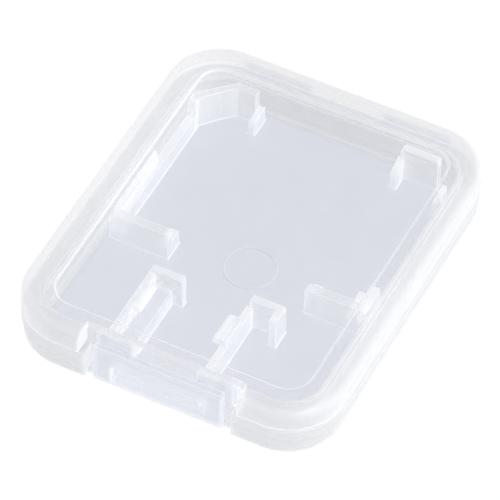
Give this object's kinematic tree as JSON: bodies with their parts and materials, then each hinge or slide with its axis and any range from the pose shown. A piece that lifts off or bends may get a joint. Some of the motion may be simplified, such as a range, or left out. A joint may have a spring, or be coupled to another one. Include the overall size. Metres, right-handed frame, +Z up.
{
  "type": "memory card case",
  "caption": "Flat clear plastic case for memory cards: shallow tray with card retainers, hinged window lid with a hook, and a slotted snap latch tongue at the front.",
  "frame": {"origin": "middle of the case's plan, on the flat underside it rests on (the hinge straps behind the back wall are not counted)", "axes": "+X along the latch edge to the right seen from the front, +Y from the latch edge to the hinge edge, +Z up through the lid"},
  "size_m": [0.042, 0.0522, 0.0073],
  "materials": {
    "clear_tray": "milky translucent polypropylene, smooth",
    "clear_ribs": "milky translucent polypropylene, thin ribs",
    "clear_hinge": "thin flexing polypropylene web",
    "clear_lid": "clear glossy polypropylene",
    "clear_latch": "milky translucent polypropylene, smooth"
  },
  "bodies": {
    "base": {"base_tray": "clear_tray", "sd_left_bracket": "clear_ribs", "sd_right_bracket": "clear_ribs", "sd_left_rail": "clear_ribs", "sd_corner_guide": "clear_ribs", "sd_back_left_rest": "clear_ribs", "sd_back_right_stop": "clear_ribs", "sd_right_post": "clear_ribs", "micro_left_holder": "clear_ribs", "micro_centre_holder": "clear_ribs", "micro_front_rest": "clear_ribs", "hinge_strap_left": "clear_hinge", "hinge_strap_right": "clear_hinge"},
    "lid": {"lid_shell": "clear_lid", "lid_catch": "clear_lid"},
    "latch": {"latch_tongue": "clear_latch"}
  },
  "joints": [
    {"name": "lid_hinge", "type": "hinge", "parent": "base", "child": "lid", "pos_m": [0, 0.02645, 0.00375], "axis": [-1, 0, 0], "range_deg": [0, 180], "deforming": ["hinge_strap_left", "hinge_strap_right"]},
    {"name": "latch_flex", "type": "hinge", "parent": "base", "child": "latch", "pos_m": [0, -0.02438, 0.0005], "axis": [1, 0, 0], "range_deg": [0, 15], "stiffness_Nm_per_rad": 0.02}
  ]
}
